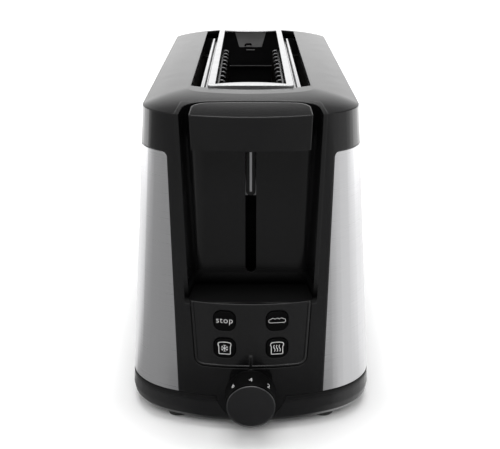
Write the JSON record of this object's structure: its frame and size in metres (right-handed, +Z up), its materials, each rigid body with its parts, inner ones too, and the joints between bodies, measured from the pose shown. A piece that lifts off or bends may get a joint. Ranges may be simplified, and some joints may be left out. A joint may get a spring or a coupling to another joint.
{
  "type": "long slot toaster",
  "caption": "Toaster with one long slot, a wide lever block at its short end, push buttons, a browning knob, warming wires and a crumb tray.",
  "frame": {"origin": "on the floor, under the middle of the overall box", "axes": "+Z up, +Y along the slot away from the lever end, +X to the right seen from the lever end"},
  "size_m": [0.1412, 0.41, 0.1852],
  "materials": {
    "black_gloss": "satin",
    "black_matte": "fine matte",
    "steel_skin": "brushed along the length",
    "chrome": "polished",
    "steel": "plain sheet and wire",
    "screw_steel": "plated",
    "bright_sheet": "bright",
    "mica": "flaky",
    "foot_rubber": "matte",
    "board": "lacquered",
    "ceramic": "unglazed"
  },
  "bodies": {
    "casing": {"base_screws": "screw_steel", "base_tray": "black_matte", "carriage_rod_front": "steel", "carriage_rod_rear": "steel", "contact_block": "black_matte", "control_board": "board", "control_panel": "black_gloss", "cord_bush": "black_matte", "end_plate_front": "steel", "end_plate_rear": "steel", "end_plate_screws": "screw_steel", "foot_front_left": "foot_rubber", "foot_front_right": "foot_rubber", "foot_rear_left": "foot_rubber", "foot_rear_right": "foot_rubber", "heater_board_left": "mica", "heater_board_right": "mica", "heater_ribbon_left": "steel", "heater_ribbon_right": "steel", "lever_recess": "black_gloss", "magnet_coil": "black_matte", "magnet_core": "steel", "main_casing": "black_gloss", "mains_terminal": "ceramic", "potentiometer": "black_matte", "rear_baffle": "steel", "reflector_left": "bright_sheet", "reflector_right": "bright_sheet", "return_spring": "steel", "side_panel_left": "steel_skin", "side_panel_right": "steel_skin", "slot_frame": "chrome", "tact_switches": "black_matte"},
    "carriage": {"lever_knob": "black_gloss", "carriage_bracket": "steel", "lever_shoe": "black_matte", "bread_rack": "steel", "rear_slider": "black_matte", "magnet_keeper": "steel"},
    "dial": {"browning_knob": "black_matte", "dial_shaft": "steel"},
    "button_stop": {"button_stop": "black_matte"},
    "button_baguette": {"button_baguette": "black_matte"},
    "button_defrost": {"button_defrost": "black_matte"},
    "button_reheat": {"button_reheat": "black_matte"},
    "guide_left": {"bread_guide_left": "steel"},
    "guide_right": {"bread_guide_right": "steel"},
    "warming_rack": {"warming_wire_left": "chrome", "warming_wire_right": "chrome", "warming_yoke": "steel"},
    "crumb_drawer": {"crumb_tray": "steel", "tray_handle": "black_matte"}
  },
  "joints": [
    {"name": "carriage_slide", "type": "slide", "parent": "casing", "child": "carriage", "axis": [0, 0, -1], "range_m": [0, 0.074], "stiffness_N_per_m": 45, "springref_m": -0.06, "deforming": ["return_spring"]},
    {"name": "browning_turn", "type": "hinge", "parent": "casing", "child": "dial", "pos_m": [0, -0.20316, 0.0242], "axis": [0, 0.9903, 0.1392], "range_deg": [-67.5, 67.5]},
    {"name": "press_stop", "type": "slide", "parent": "casing", "child": "button_stop", "axis": [0, 1, 0], "range_m": [0, 0.0012], "stiffness_N_per_m": 400, "springref_m": -0.001},
    {"name": "press_baguette", "type": "slide", "parent": "casing", "child": "button_baguette", "axis": [0, 1, 0], "range_m": [0, 0.0012], "stiffness_N_per_m": 400, "springref_m": -0.001},
    {"name": "press_defrost", "type": "slide", "parent": "casing", "child": "button_defrost", "axis": [0, 1, 0], "range_m": [0, 0.0012], "stiffness_N_per_m": 400, "springref_m": -0.001},
    {"name": "press_reheat", "type": "slide", "parent": "casing", "child": "button_reheat", "axis": [0, 1, 0], "range_m": [0, 0.0012], "stiffness_N_per_m": 400, "springref_m": -0.001},
    {"name": "guide_left_swing", "type": "hinge", "parent": "casing", "child": "guide_left", "pos_m": [-0.024, 0.02884, 0.046], "axis": [0, 1, 0], "range_deg": [0, 4]},
    {"name": "guide_right_swing", "type": "hinge", "parent": "casing", "child": "guide_right", "pos_m": [0.024, 0.02884, 0.046], "axis": [0, -1, 0], "range_deg": [0, 4]},
    {"name": "warming_lift", "type": "slide", "parent": "casing", "child": "warming_rack", "axis": [0, 0, 1], "range_m": [0, 0.024]},
    {"name": "tray_slide", "type": "slide", "parent": "casing", "child": "crumb_drawer", "axis": [0, 1, 0], "range_m": [0, 0.29]}
  ],
  "couplings": [
    {"joint": "guide_left_swing", "follows": "carriage_slide", "rad_per_m": 0.9434},
    {"joint": "guide_right_swing", "follows": "carriage_slide", "rad_per_m": 0.9434}
  ]
}
